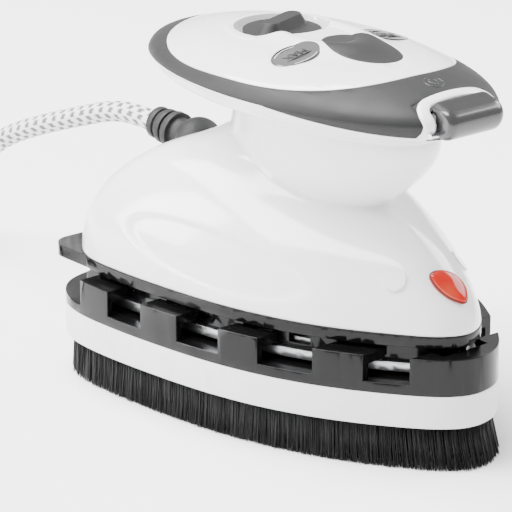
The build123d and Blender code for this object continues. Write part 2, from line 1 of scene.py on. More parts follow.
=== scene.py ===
"""Looks for the compact handheld steam iron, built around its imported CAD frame.

Metres, in the frame's own axes: +X towards the nose, +Z up, z = 0 under the bristles.
Lengths written in millimetres are turned into metres with MM.
"""

import json
import math

import bmesh
import bpy
import numpy as np
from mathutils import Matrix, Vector


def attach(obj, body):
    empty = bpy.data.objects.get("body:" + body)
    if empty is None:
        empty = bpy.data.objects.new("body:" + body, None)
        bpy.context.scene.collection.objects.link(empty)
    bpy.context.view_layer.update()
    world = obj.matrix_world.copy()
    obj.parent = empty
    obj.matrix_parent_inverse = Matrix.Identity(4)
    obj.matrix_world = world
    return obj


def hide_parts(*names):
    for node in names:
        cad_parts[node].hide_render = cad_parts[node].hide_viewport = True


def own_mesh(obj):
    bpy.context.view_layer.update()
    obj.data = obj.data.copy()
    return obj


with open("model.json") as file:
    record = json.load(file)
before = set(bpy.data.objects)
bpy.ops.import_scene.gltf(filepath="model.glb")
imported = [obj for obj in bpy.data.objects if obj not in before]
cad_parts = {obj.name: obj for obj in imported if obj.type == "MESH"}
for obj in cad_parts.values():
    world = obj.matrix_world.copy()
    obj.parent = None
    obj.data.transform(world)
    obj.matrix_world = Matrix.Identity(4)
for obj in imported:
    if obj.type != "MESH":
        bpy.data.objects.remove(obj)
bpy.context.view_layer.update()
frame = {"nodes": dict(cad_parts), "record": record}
nodes = frame["nodes"]
MM = 0.001
rng = np.random.default_rng(7)

# ---- driving dimensions, in mm --------------------------------------------------------
BODY_Z = 36.2  # lower edge of the white body
DOME_MID, DOME_REAR, DOME_NOSE, DOME_HALF = 3.75, 68.5, 60.55, 40.2
NECK_TOP, PART_Z = 86.0, 95.2
HANDLE_X, HANDLE_A, HANDLE_B = 2.9, 62.0, 33.8
CROWN_H, CROWN_POWER = 11.6, 0.56
DIAL_X, DIAL_FLOOR, DIAL_R = -12.5, 102.4, 13.5
CORD_D = 6.3
RING_LOW, FRAME_GROW = 12.0, 5.0  # the light ring's lower edge, and how far it stands out

# How the dome closes in with height: where it would meet, the power, and the root.
REAR_CLOSES, NOSE_CLOSES, HALF_CLOSES = (42, 2.3, 0.5), (35.24, 1.78, 0.77), (39, 2.2, 0.5)

# Half of the body's plan, nose first; the other half is its mirror image.
PLAN = [
    (64.3, 0),
    (61.7, 6.7),
    (54.4, 13.3),
    (40.7, 22.5),
    (23.0, 30.8),
    (3.0, 36.2),
    (-20.0, 39.2),
    (-41.0, 40.2),
    (-55.0, 37.9),
    (-62.4, 31.6),
    (-64.75, 20.0),
    (-64.75, 0),
]
# Neck levels: height, centre X, half length, half width.
NECK = [
    (60.5, -4.8, 28.2, 15.0),
    (64.9, -1.2, 32.0, 16.2),
    (70.7, 3.5, 35.2, 17.1),
    (77.0, 7.8, 37.2, 17.9),
    (NECK_TOP, 9.0, 38.0, 18.3),
]


# ---- camera ---------------------------------------------------------------------------
CAMERA_AZIMUTH, CAMERA_ELEVATION = math.radians(50), math.radians(19)
CAMERA_DISTANCE, CAMERA_LENS = 0.9, 226.5  # metres, and mm on a 36 mm sensor
CAMERA_TARGET = Vector((-9.05, -12.3, 41.7)) * MM


def add_camera():
    """The camera, at the angle and distance that the object is seen from."""
    back = Vector(
        (
            math.sin(CAMERA_AZIMUTH) * math.cos(CAMERA_ELEVATION),
            -math.cos(CAMERA_AZIMUTH) * math.cos(CAMERA_ELEVATION),
            math.sin(CAMERA_ELEVATION),
        )
    )
    data = bpy.data.cameras.new("camera")
    data.sensor_width = 36.0
    data.lens = CAMERA_LENS
    data.clip_start, data.clip_end = 0.05, 20.0
    camera = bpy.data.objects.new("camera", data)
    camera.location = CAMERA_TARGET + back * CAMERA_DISTANCE
    camera.rotation_euler = (-back).to_track_quat("-Z", "Y").to_euler()
    bpy.context.scene.collection.objects.link(camera)
    bpy.context.scene.camera = camera


add_camera()


# ---- materials ------------------------------------------------------------------------
def new_material(name):
    """A node material, with its nodes, links and main shader."""
    made = bpy.data.materials.new(name)
    made.use_nodes = True
    tree = made.node_tree
    return made, tree.nodes, tree.links, tree.nodes["Principled BSDF"]


def noise(tree_nodes, links, size_mm, detail=3.0, stretch=(1, 1, 1)):
    """A noise texture whose features are about size_mm across."""
    place = tree_nodes.new("ShaderNodeTexCoord")
    mapping = tree_nodes.new("ShaderNodeMapping")
    mapping.inputs["Scale"].default_value = stretch
    texture = tree_nodes.new("ShaderNodeTexNoise")
    texture.inputs["Scale"].default_value = 1 / (size_mm * MM)
    texture.inputs["Detail"].default_value = detail
    links.new(place.outputs["Object"], mapping.inputs["Vector"])
    links.new(mapping.outputs["Vector"], texture.inputs["Vector"])
    return texture.outputs["Fac"]


def spread(tree_nodes, links, factor, low, high):
    """A factor turned into a value between low and high."""
    ranged = tree_nodes.new("ShaderNodeMapRange")
    ranged.inputs["From Min"].default_value = 0.3
    ranged.inputs["From Max"].default_value = 0.7
    ranged.inputs["To Min"].default_value = low
    ranged.inputs["To Max"].default_value = high
    links.new(factor, ranged.inputs["Value"])
    return ranged.outputs["Result"]


def two_tone(tree_nodes, links, factor, first, second):
    """A colour between two, by a factor."""
    mix = tree_nodes.new("ShaderNodeMix")
    mix.data_type = "RGBA"
    links.new(factor, mix.inputs["Factor"])
    mix.inputs["A"].default_value = (*first, 1)
    mix.inputs["B"].default_value = (*second, 1)
    return mix.outputs["Result"]


def relief(tree_nodes, links, height, depth_mm, edge_mm=0.0):
    """A normal from a height, on top of softly rounded edges."""
    bump = tree_nodes.new("ShaderNodeBump")
    bump.inputs["Distance"].default_value = depth_mm * MM
    links.new(height, bump.inputs["Height"])
    if edge_mm:
        edge = tree_nodes.new("ShaderNodeBevel")
        edge.samples = 4
        edge.inputs["Radius"].default_value = edge_mm * MM
        links.new(edge.outputs["Normal"], bump.inputs["Normal"])
    return bump.outputs["Normal"]


def moulded(
    name,
    colour,
    roughness,
    grain_mm,
    depth_mm,
    tone,
    edge_mm,
    stretch=(1, 1, 1),
    **inputs,
):
    """A moulded or metal surface: slow changes in colour and gloss, and a fine grain."""
    made, tree_nodes, links, shader = new_material(name)
    slow = noise(tree_nodes, links, 14.0, 4.0)
    grain = noise(tree_nodes, links, grain_mm, 2.0, stretch)
    darker = [c * (1 - tone) for c in colour]
    lighter = [min(c * (1 + tone), 1.0) for c in colour]
    toned = two_tone(tree_nodes, links, spread(tree_nodes, links, slow, 0, 1), darker, lighter)
    links.new(toned, shader.inputs["Base Color"])
    links.new(
        spread(tree_nodes, links, slow, roughness * 0.85, roughness * 1.2),
        shader.inputs["Roughness"],
    )
    links.new(
        relief(tree_nodes, links, grain, depth_mm, edge_mm), shader.inputs["Normal"]
    )
    for key, value in inputs.items():
        shader.inputs[key.replace("_", " ")].default_value = value
    return made


# Each finish: colour, roughness, grain size and depth in mm, change of tone, rounded edge
# in mm, and anything more.
FINISHES = {
    "white_gloss": (
        *((0.8, 0.8, 0.805), 0.16, 0.8, 0.002, 0.01, 0.2),
        {"Coat_Weight": 0.5, "Coat_Roughness": 0.06},
    ),
    "grey_grip": (
        *((0.017, 0.017, 0.0176), 0.5, 0.22, 0.02, 0.05, 0.25),
        {"Specular_IOR_Level": 0.25},
    ),
    "grey_gloss": ((0.022, 0.022, 0.023), 0.22, 0.5, 0.003, 0.05, 0.25, {"Coat_Weight": 0.4}),
    "window_grey": ((0.07, 0.07, 0.07), 0.12, 0.6, 0.002, 0.05, 0.2, {"Coat_Weight": 0.6}),
    "black_gloss": (
        *((0.003, 0.003, 0.0032), 0.14, 0.6, 0.003, 0.2, 0.3),
        {"Specular_IOR_Level": 0.22},
    ),
    "ring_white": ((0.72, 0.72, 0.725), 0.42, 0.4, 0.006, 0.02, 0.3, {}),
    "bristle_black": (
        *((0.007, 0.007, 0.0075), 0.4, 0.5, 0.003, 0.6, 0.0),
        {"Specular_IOR_Level": 0.3},
    ),
    "aluminium": (
        *((0.4, 0.41, 0.42), 0.3, 0.25, 0.012, 0.08, 0.2),
        {"stretch": (0.06, 1, 1), "Metallic": 1.0},
    ),
    "steel": (
        *((0.6, 0.6, 0.62), 0.25, 0.2, 0.006, 0.08, 0.1),
        {"stretch": (1, 1, 0.1), "Metallic": 1.0},
    ),
    "brass": ((0.62, 0.45, 0.18), 0.3, 0.2, 0.006, 0.08, 0.1, {"Metallic": 1.0}),
    "clear_plastic": (
        *((0.8, 0.84, 0.86), 0.15, 0.5, 0.002, 0.03, 0.1),
        {"Transmission_Weight": 0.6},
    ),
    "glass_clear": (
        *((0.95, 0.95, 0.95), 0.05, 0.5, 0.001, 0.02, 0.0),
        {"Transmission_Weight": 0.9},
    ),
    "silicone": ((0.7, 0.68, 0.62), 0.5, 0.3, 0.006, 0.04, 0.2, {}),
    "black_matte": ((0.02, 0.02, 0.021), 0.5, 0.25, 0.02, 0.15, 0.3, {}),
    "chrome_pin": ((0.72, 0.72, 0.73), 0.12, 0.3, 0.003, 0.05, 0.2, {"Metallic": 1.0}),
}
MATERIALS = {name: moulded(name, *finish[:-1], **finish[-1]) for name, finish in FINISHES.items()}
for subpart in frame["record"]["subparts"]:
    node = nodes[subpart["node"]]
    chosen = MATERIALS.get(subpart["material_slot"], MATERIALS["white_gloss"])
    node.data.materials.clear()
    node.data.materials.append(chosen)


# ---- mesh helpers ---------------------------------------------------------------------
def add_mesh(name, points, faces, look, body, replaced=()):
    """A smooth-shaded piece from points in mm, riding on a body."""
    mesh = bpy.data.meshes.new(name)
    mesh.from_pydata((np.asarray(points, float) * MM).tolist(), [], faces)
    mesh.validate()
    mesh.polygons.foreach_set("use_smooth", [True] * len(mesh.polygons))
    mesh.materials.append(look)
    piece = bpy.data.objects.new(name, mesh)
    bpy.context.scene.collection.objects.link(piece)
    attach(piece, body)
    if replaced:
        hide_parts(*replaced)
    return piece


def ring_faces(rows, columns, start=0, caps=(False, False)):
    """Quads over rows of closed rings, with an optional flat face at either end."""
    faces = []
    for r in range(rows - 1):
        a, b = start + r * columns, start + (r + 1) * columns
        for c in range(columns):
            d = (c + 1) % columns
            faces.append((a + c, a + d, b + d, b + c))
    if caps[0]:
        faces.append(tuple(start + c for c in reversed(range(columns))))
    if caps[1]:
        faces.append(tuple(start + (rows - 1) * columns + c for c in range(columns)))
    return faces


def closed_curve(points, count):
    """Points along a smooth closed curve through the given ones."""
    p = np.array(points, float)
    n = len(p)
    gaps = np.linalg.norm(np.roll(p, -1, 0) - p, axis=1)
    system, right = np.zeros((n, n)), np.zeros(p.shape)
    for i in range(n):
        before, after = gaps[i - 1], gaps[i]
        system[i, i - 1] += before
        system[i, i] += 2 * (before + after)
        system[i, (i + 1) % n] += after
        right[i] = 6 * ((p[(i + 1) % n] - p[i]) / after - (p[i] - p[i - 1]) / before)
    bend = np.linalg.solve(system, right)
    stops = np.concatenate([[0], np.cumsum(gaps)])
    along = np.linspace(0, stops[-1], count, endpoint=False)
    i = np.clip(np.searchsorted(stops, along, side="right") - 1, 0, n - 1)
    j = (i + 1) % n
    h, t = gaps[i][:, None], (along - stops[i])[:, None]
    return (
        (bend[i] * (h - t) ** 3 + bend[j] * t**3) / (6 * h)
        + (p[i] / h - bend[i] * h / 6) * (h - t)
        + (p[j] / h - bend[j] * h / 6) * t
    )


BASE = closed_curve(PLAN + [(x, -y) for x, y in reversed(PLAN[1:-1])], 1440)


def reach(outline, centre, turns):
    """How far a closed outline lies from (centre, 0) in each direction."""
    away = outline - np.array([centre, 0])
    angle = np.arctan2(away[:, 1], away[:, 0])
    order = np.argsort(angle)
    return np.interp(
        turns, angle[order], np.hypot(away[:, 0], away[:, 1])[order], period=2 * math.pi
    )


def oval_reach(a, b, turns):
    """The same for an ellipse about its own centre."""
    return a * b / np.hypot(b * np.cos(turns), a * np.sin(turns))


def smooth_max(a, b, width):
    """The larger of two, rounded where they are nearly equal."""
    return np.maximum(a, b) + np.maximum(width - np.abs(a - b), 0) ** 2 / (4 * width)


def grown(outline, distance):
    """A closed outline moved outwards by a distance."""
    ahead, behind = np.roll(outline, -1, 0), np.roll(outline, 1, 0)
    along = ahead - behind
    along /= np.linalg.norm(along, axis=1)[:, None]
    out = np.stack([along[:, 1], -along[:, 0]], 1)
    if (out * outline).sum() < 0:
        out = -out
    return outline + out * distance


def resampled(line, step):
    """The same line with evenly spaced points, and the distance to each."""
    gaps = np.linalg.norm(np.diff(line, axis=0), axis=1)
    line = line[np.concatenate([[True], gaps > 1e-9])]
    travelled = np.concatenate([[0], np.cumsum(np.linalg.norm(np.diff(line, axis=0), axis=1))])
    along = np.linspace(0, travelled[-1], int(travelled[-1] / step) + 1)
    return np.stack([np.interp(along, travelled, line[:, k]) for k in range(3)], 1), along


def tube(name, line, radius, look, body, slot_name, closed=False, around=10):
    """A thin tube of one radius along a line of points in mm."""
    line = np.asarray(line, float)
    along = np.roll(line, -1, 0) - np.roll(line, 1, 0) if closed else np.gradient(line, axis=0)
    along /= np.linalg.norm(along, axis=1)[:, None]
    up = np.array([0.0, 0.0, 1.0])
    across = np.cross(along, up)
    across /= np.maximum(np.linalg.norm(across, axis=1), 1e-9)[:, None]
    other = np.cross(across, along)
    turn = np.arange(around) * 2 * math.pi / around
    points = (
        line[:, None]
        + radius * np.cos(turn)[None, :, None] * across[:, None]
        + radius * np.sin(turn)[None, :, None] * other[:, None]
    )
    rows = len(line)
    faces = ring_faces(rows, around, caps=(not closed, not closed))
    if closed:
        last = (rows - 1) * around
        for c in range(around):
            d = (c + 1) % around
            faces.append((last + c, last + d, d, c))
    return add_mesh(name, points.reshape(-1, 3), faces, look, body)


# ---- body -----------------------------------------------------------------------------
def dome_outline(height, least_nose=-100.0):
    """The dome's outline at a height above its lower edge."""

    def kept(top, power, root):
        return max(1 - (height / top) ** power, 1e-4) ** root

    rear = DOME_MID - DOME_REAR * kept(*REAR_CLOSES)
    nose = max(DOME_MID + DOME_NOSE * kept(*NOSE_CLOSES), least_nose)
    half = DOME_HALF * kept(*HALF_CLOSES)
    full = PLAN[0][0] - PLAN[-1][0]
    centre = (PLAN[0][0] + PLAN[-1][0]) / 2
    return np.stack(
        [
            (rear + nose) / 2 + (BASE[:, 0] - centre) * (nose - rear) / full,
            BASE[:, 1] * half / DOME_HALF,
        ],
        1,
    )


# The long oval dish on each side: its middle, half axes, slope, depth and share of edge.
DISH_X, DISH_Z, DISH_A, DISH_B = -3.0, 47.6, 34.5, 7.7
DISH_TILT, DISH_DEPTH, DISH_EDGE = math.radians(-5), 1.0, 0.16


def side_dish(x, z):
    """How deep the dish on a side is, in mm, over the side's own plane."""
    dx, dz = x - DISH_X, z - DISH_Z
    u = (dx * math.cos(DISH_TILT) + dz * math.sin(DISH_TILT)) / DISH_A
    v = (-dx * math.sin(DISH_TILT) + dz * math.cos(DISH_TILT)) / DISH_B
    inward = np.clip((1 - np.hypot(u, v)) / DISH_EDGE, 0, 1)
    return DISH_DEPTH * inward * inward * (3 - 2 * inward)


FLARE_SLOPE, FLARE_LEAST = 4.2, -12  # the neck opens out again just under the handle


def body_rings(columns):
    """The body's outer skin, from its lower edge to the handle, as rings of points."""
    levels = np.array(NECK)
    fits = [np.polyfit(levels[:, 0], levels[:, k], 4) for k in (1, 2, 3)]
    turns = np.linspace(-math.pi, math.pi, columns, endpoint=False)
    # A concave fillet runs round the neck's foot, tight at the front.
    fillet = 2.2 + 8.5 * (0.5 - 0.5 * np.cos(turns)) ** 0.6
    heights = np.concatenate(
        [
            np.linspace(0.8, 24, 34),
            np.linspace(24.3, 42, 76),
            np.linspace(42.6, NECK_TOP - BODY_Z - 4.5, 6),
            np.linspace(NECK_TOP - BODY_Z - 4.0, NECK_TOP - BODY_Z + 1.4, 16),
        ]
    )
    rings = []
    edge = [(2.4, 3.0), (2.4, 0.6), (2.0, 0.15), (1.3, 0), (0.7, 0), (0.25, 0.12), (0.05, 0.4)]
    for inset, rise in edge:
        far = reach(dome_outline(rise), 0, turns) - inset
        rings.append((0, BODY_Z + rise, far))
    for height in heights:
        z = BODY_Z + height
        inside = z > levels[0, 0]
        foot = np.interp(z, [50, NECK[0][0]], [0, NECK[0][1]])
        centre = np.polyval(fits[0], z) if inside else foot
        far = np.zeros(columns)
        if height < 41.8:
            far = reach(dome_outline(height, centre + 3), centre, turns)
        if inside:
            a, b = np.polyval(fits[1], z), np.polyval(fits[2], z)
            far = smooth_max(far, oval_reach(a, b, turns), fillet)
            flare = (z - NECK_TOP) * FLARE_SLOPE
            if flare > FLARE_LEAST:
                far = smooth_max(far, oval_reach(a + flare, b + flare * 0.7, turns), 3.0)
        rings.append((centre, z, far))
    rings.append((rings[-1][0], rings[-1][1] + 0.3, rings[-1][2] - 3))
    points = []
    for centre, z, far in rings:
        beside = np.abs(np.sin(turns)) > 0.2
        far = far - side_dish(centre + far * np.cos(turns), z) * beside
        points.append(
            np.stack([centre + far * np.cos(turns), far * np.sin(turns), np.full(columns, z)], 1)
        )
    return np.array(points)


skin = body_rings(480)
add_mesh(
    "body_skin",
    skin.reshape(-1, 3),
    ring_faces(len(skin), skin.shape[1]),
    MATERIALS["white_gloss"],
    "iron",
    ["body_shell"],
)


# ---- CAD nodes with softened edges ----------------------------------------------------
EDGE_SEGMENTS, EDGE_ANGLE = 2, math.radians(32)


def softened(node_name, width_mm, body, slot_name):
    """A copy of a CAD node with its edges rounded, which stands for the node."""
    source = nodes[node_name]
    mesh = source.data.copy()
    shape = bmesh.new()
    shape.from_mesh(mesh)
    bmesh.ops.remove_doubles(shape, verts=shape.verts, dist=2e-6)
    bmesh.ops.dissolve_limit(
        shape, angle_limit=math.radians(0.6), verts=shape.verts, edges=shape.edges
    )
    shape.to_mesh(mesh)
    shape.free()
    piece = bpy.data.objects.new(node_name + "_soft", mesh)
    bpy.context.scene.collection.objects.link(piece)
    bevel = piece.modifiers.new("edges", "BEVEL")
    bevel.width = width_mm * MM
    bevel.segments = EDGE_SEGMENTS
    bevel.limit_method = "ANGLE"
    bevel.angle_limit = EDGE_ANGLE
    bevel.use_clamp_overlap = True
    bevel.harden_normals = True
    bpy.context.view_layer.update()
    done = bpy.data.meshes.new_from_object(
        piece.evaluated_get(bpy.context.evaluated_depsgraph_get())
    )
    piece.modifiers.clear()
    piece.data = done
    done.materials.clear()
    done.materials.append(MATERIALS[slot_name])
    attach(piece, body)
    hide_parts(node_name)


SOFTENED = [
    ("handle_lower_shell", 0.25, "iron", "white_gloss"),
    ("front_grip_lower", 0.2, "iron", "grey_grip"),
    ("handle_grip", 0.3, "iron", "grey_grip"),
    ("handle_top_cover", 0.3, "iron", "white_gloss"),
    ("level_window_right", 0.25, "iron", "window_grey"),
    ("level_window_left", 0.25, "iron", "window_grey"),
    ("temperature_dial", 0.5, "dial", "grey_grip"),
    ("steam_button", 0.6, "button", "grey_grip"),
    ("cord_guard", 0.5, "lead", "grey_grip"),
    ("skirt", 0.35, "iron", "black_gloss"),
    ("soleplate", 0.3, "iron", "aluminium"),
    ("brush_frame", 0.5, "brush", "black_gloss"),
    ("bristle_block", 0.6, "brush", "ring_white"),
    ("coil_tie", 0.4, "lead", "black_gloss"),
    ("plug_body", 1.2, "lead", "black_matte"),
    ("plug_pins", 0.5, "lead", "chrome_pin"),
]
for node_name, width_mm, body, slot_name in SOFTENED:
    softened(node_name, width_mm, body, slot_name)


# ---- small pieces on the handle and nose ----------------------------------------------
def crown_z(x, y):
    """Height of the handle's domed top over a place."""
    ratio = ((x - HANDLE_X) / HANDLE_A) ** 2 + (y / HANDLE_B) ** 2
    return PART_Z + CROWN_H * np.clip(1 - ratio, 0, 1) ** CROWN_POWER


def on_crown(flat, lift):
    """Flat points laid on the handle's top, lifted a little."""
    flat = np.asarray(flat, float)
    return np.column_stack([flat, crown_z(flat[:, 0], flat[:, 1]) + lift])


def circle(x, y, a, b, count=64):
    """Points round an ellipse about a place."""
    turn = np.arange(count) * 2 * math.pi / count
    return np.column_stack([x + a * np.cos(turn), y + b * np.sin(turn)])


# Dark print for the lettering and lines, also used for the painted shadow line round the lens.
DARK_PRINT_AND_SHADE = moulded("print_and_shade_dark", (0.012, 0.012, 0.012), 0.4, 0.3, 0.002, 0.1, 0.0)
PRINT_WHITE = moulded("print_white", (0.75, 0.75, 0.75), 0.4, 0.3, 0.002, 0.05, 0.0)
WINDOW_X, WINDOW_Y, WINDOW_A, WINDOW_B = 11.9, 16.0, 5.6, 7.0


def add_level_marks(side, label):
    """MAX and its level line on a window, and the window's thin rim."""
    y = side * WINDOW_Y
    font = bpy.data.curves.new("level_text_" + label, "FONT")
    font.body = "MAX"
    font.align_x, font.align_y = "CENTER", "CENTER"
    font.size = 3.5
    font.extrude = 0.05
    font.resolution_u = 4
    holder = bpy.data.objects.new("level_text_" + label, font)
    bpy.context.scene.collection.objects.link(holder)
    bpy.context.view_layer.update()
    mesh = bpy.data.meshes.new_from_object(
        holder.evaluated_get(bpy.context.evaluated_depsgraph_get())
    )
    bpy.data.objects.remove(holder)
    flat = np.array([v.co[:] for v in mesh.vertices])
    faces = [tuple(p.vertices) for p in mesh.polygons]
    x, across = WINDOW_X - 0.4 + flat[:, 1], y - flat[:, 0]
    points = np.column_stack([x, across, crown_z(x, across) + 0.03 + flat[:, 2]])
    add_mesh("level_text_" + label, points, faces, DARK_PRINT_AND_SHADE, "iron")
    marks = [(WINDOW_X + 1.7, y + t) for t in np.linspace(-4.4, 4.4, 16)]
    place = ("iron", "window_grey")
    tube("level_line_" + label, on_crown(marks, 0.0), 0.16, DARK_PRINT_AND_SHADE, *place)
    rim = circle(WINDOW_X, y, WINDOW_A + 0.05, WINDOW_B + 0.05, 96)
    tube("window_rim_" + label, on_crown(rim, -0.05), 0.22, DARK_PRINT_AND_SHADE, *place, True)
    inner = circle(WINDOW_X, y, WINDOW_A - 0.7, WINDOW_B - 0.7, 96)
    tube("window_line_" + label, on_crown(inner, -0.04), 0.1, PRINT_WHITE, *place, True)


add_level_marks(-1, "right")
add_level_marks(1, "left")

# A water drop inside a ring: half of its outline, tip first, and where it is.
DROP = [(3.0, 0), (1.6, 0.75), (0.1, 1.3), (-1.2, 0.95), (-1.75, 0)]
ICON_X, ICON_R = 49.0, 2.7


def add_icon():
    """The raised drop and ring near the nose."""
    outline = closed_curve(DROP + [(x, -y) for x, y in reversed(DROP[1:-1])], 60)
    drop = [(ICON_X - 0.5 + x * 0.7, y * 0.9) for x, y in outline]
    look = (MATERIALS["grey_gloss"], "iron", "grey_gloss", True)
    tube("icon_drop", on_crown(drop, 0.0), 0.14, *look)
    tube("icon_ring", on_crown(circle(ICON_X, 0, ICON_R, ICON_R), 0.0), 0.13, *look)


add_icon()


def add_dial_marks():
    """A white arc with dots that grow in number, on the ring round the dial."""
    z = DIAL_FLOOR + 0.72
    arc = [
        (DIAL_X + 12.9 * math.cos(t), 12.9 * math.sin(t), z)
        for t in np.radians(np.linspace(60, 300, 90))
    ]
    tube("dial_arc", arc, 0.14, PRINT_WHITE, "iron", "window_grey")
    number = 0
    for group, degrees in ((1, 110), (2, 180), (3, 250)):
        for k in range(group):
            t = math.radians(degrees + (k - (group - 1) / 2) * 6.5)
            place = (DIAL_X + 11.95 * math.cos(t), 11.95 * math.sin(t))
            dot = [(*p, z) for p in circle(*place, 0.22, 0.22, 16)]
            tube(f"dial_dot_{number}", dot, 0.24, PRINT_WHITE, "iron", "window_grey", True)
            number += 1


add_dial_marks()

# The filler cap's section: a bulging front and a lip along its top.
CAP_SECTION = [
    (60.2, 91.7),
    (62.6, 91.1),
    (65.0, 92.4),
    (66.3, 95.0),
    (66.0, 97.6),
    (64.2, 99.4),
    (61.2, 100.35),
    (58.4, 100.5),
    (58.0, 99.6),
    (59.6, 98.5),
    (60.0, 95.4),
]
CAP_MATTE_Z = 99.3  # the cap's top above this is matte


def add_cap():
    """The filler cap: one rounded bar across the nose."""
    section = closed_curve(CAP_SECTION, 72)
    centre = section.mean(0)
    half, corner = 9.8, 2.4
    levels = []
    for t in np.linspace(0, math.pi / 2, 9):
        levels.append((-half + corner * (1 - math.sin(t)), 1 - 0.36 * (1 - math.cos(t))))
    middle = [(y, 1.0) for y in np.linspace(-half + corner, half - corner, 12)[1:-1]]
    levels = levels + middle + [(-y, k) for y, k in levels]
    levels.sort(key=lambda level: level[0])
    points = []
    for y, kept in levels:
        ring = centre + (section - centre) * kept
        points.append(np.column_stack([ring[:, 0], np.full(len(ring), y), ring[:, 1]]))
    points = np.array(points)
    piece = add_mesh(
        "cap_shell",
        points.reshape(-1, 3),
        ring_faces(len(points), points.shape[1], caps=(True, True)),
        MATERIALS["grey_gloss"],
        "cap",
        ["filler_cap"],
    )
    piece.data.materials.append(MATERIALS["grey_grip"])
    for face in piece.data.polygons:
        if face.center.z > CAP_MATTE_Z * MM:
            face.material_index = 1


add_cap()

# Handle levels below the parting line: height, centre X, half length, half width.
UNDERSIDE = [
    (90.0, 4.6, 55.0, 29.4),
    (92.4, 3.2, 60.4, 32.5),
    (PART_Z, HANDLE_X, HANDLE_A, HANDLE_B),
]
BAND_Y, BAND_X, BAND_CORNER = 12.1, 55.7, 3.6
BAND_HALF, BAND_THICK = 1.7, 0.8


def handle_level(z):
    """Centre X and half axes of the handle's outline at a height."""
    if z >= PART_Z:
        kept = math.sqrt(max(1 - min((z - PART_Z) / CROWN_H, 1) ** (1 / CROWN_POWER), 1e-6))
        return HANDLE_X, HANDLE_A * kept, HANDLE_B * kept
    levels = np.array(UNDERSIDE)
    return tuple(np.interp(z, levels[:, 0], levels[:, k]) for k in (1, 2, 3))


def handle_normal(point):
    """The outward direction of the handle's skin at a point on it."""

    def fullness(x, y, z):
        centre, a, b = handle_level(z)
        return ((x - centre) / a) ** 2 + (y / b) ** 2

    step = 0.05
    slope = []
    for axis in np.eye(3) * step:
        slope.append(fullness(*(point + axis)) - fullness(*(point - axis)))
    slope = np.array(slope)
    return slope / np.linalg.norm(slope)


def band_half_line():
    """The surround's middle line on one side, from under the handle to the middle."""
    line = []
    for z in np.linspace(90.6, PART_Z, 12):
        centre, a, b = handle_level(z)
        line.append((centre + a * math.sqrt(1 - (BAND_Y / b) ** 2), BAND_Y, z))
    for z in np.linspace(PART_Z + 0.1, 99.3, 14):
        centre, a, b = handle_level(z)
        x = centre + a * math.sqrt(max(1 - (BAND_Y / b) ** 2, 0))
        if x > BAND_X + BAND_CORNER:
            line.append((x, BAND_Y, z))
    middle = (BAND_X + BAND_CORNER, BAND_Y - BAND_CORNER)
    for turn in np.linspace(0.1, math.pi / 2, 10):
        x = middle[0] - BAND_CORNER * math.sin(turn)
        y = middle[1] + BAND_CORNER * math.cos(turn)
        line.append((x, y, float(crown_z(x, y))))
    for y in np.linspace(middle[1], 0, 8)[1:]:
        line.append((BAND_X, y, float(crown_z(BAND_X, y))))
    return line


def add_surround():
    """The white surround: one rounded band, up one side, across and down the other."""
    half = band_half_line()
    line, _ = resampled(np.array(half + [(x, -y, z) for x, y, z in reversed(half[:-1])]), 0.45)
    for _ in range(6):
        line[1:-1] = (line[:-2] + 2 * line[1:-1] + line[2:]) / 4
    along = np.gradient(line, axis=0)
    along /= np.linalg.norm(along, axis=1)[:, None]
    out = np.array([handle_normal(p) for p in line])
    out -= along * (out * along).sum(1)[:, None]
    out /= np.linalg.norm(out, axis=1)[:, None]
    wide = np.cross(along, out)
    turn = np.arange(24) * 2 * math.pi / 24
    c, s = np.cos(turn), np.sin(turn)
    flat = np.sign(c) * np.abs(c) ** 0.6 * BAND_HALF
    high = np.sign(s) * np.abs(s) ** 0.8 * BAND_THICK
    points = (
        line[:, None]
        + flat[None, :, None] * wide[:, None]
        + (high[None, :, None] - 0.25) * out[:, None]
    )
    add_mesh(
        "surround_band",
        points.reshape(-1, 3),
        ring_faces(len(line), 24, caps=(True, True)),
        MATERIALS["white_gloss"],
        "iron",
        ["filler_surround"],
    )
    for side, label in ((-1, "right"), (1, "left")):
        add_grip_corner(side, label)


CORNER_COUNT, CORNER_THICK = 14, 0.9


def add_grip_corner(side, label):
    """A thin plate that closes the grip behind the surround's corner."""
    n, last = CORNER_COUNT, CORNER_COUNT - 1
    xs, ys = np.linspace(54.1, 58.4, n), np.linspace(8.6, 12.9, n) * side
    grid = np.array([(x, y) for x in xs for y in ys])
    high_side = np.column_stack([grid, crown_z(grid[:, 0], grid[:, 1]) - 0.12])
    low_side = high_side - [0, 0, CORNER_THICK]
    below = n * n
    faces = []
    for i in range(last):
        for j in range(last):
            a = i * n + j
            faces.append((a, a + n, a + n + 1, a + 1))
            faces.append((a + 1 + below, a + n + 1 + below, a + n + below, a + below))
    rim = [i * n for i in range(n)] + [last * n + j for j in range(1, n)]
    rim += [i * n + last for i in range(last - 1, -1, -1)] + list(range(last - 1, 0, -1))
    for k, a in enumerate(rim):
        b = rim[(k + 1) % len(rim)]
        faces.append((a, b, b + below, a + below))
    add_mesh(
        "grip_corner_" + label,
        np.concatenate([high_side, low_side]),
        faces,
        MATERIALS["grey_grip"],
        "iron",
    )


# ---- indicator lens -------------------------------------------------------------------
LENS_AT = np.array([57.55, -1.5, 47.9])
LENS_OUT = np.array([0.66, -0.025, 0.75]) / np.linalg.norm([0.66, -0.025, 0.75])
LENS_ACROSS = np.array([0.04, 1.0, 0.0])
LENS_ACROSS = LENS_ACROSS - LENS_OUT * LENS_ACROSS.dot(LENS_OUT)
LENS_ACROSS /= np.linalg.norm(LENS_ACROSS)
LENS_UP = np.cross(LENS_OUT, LENS_ACROSS)


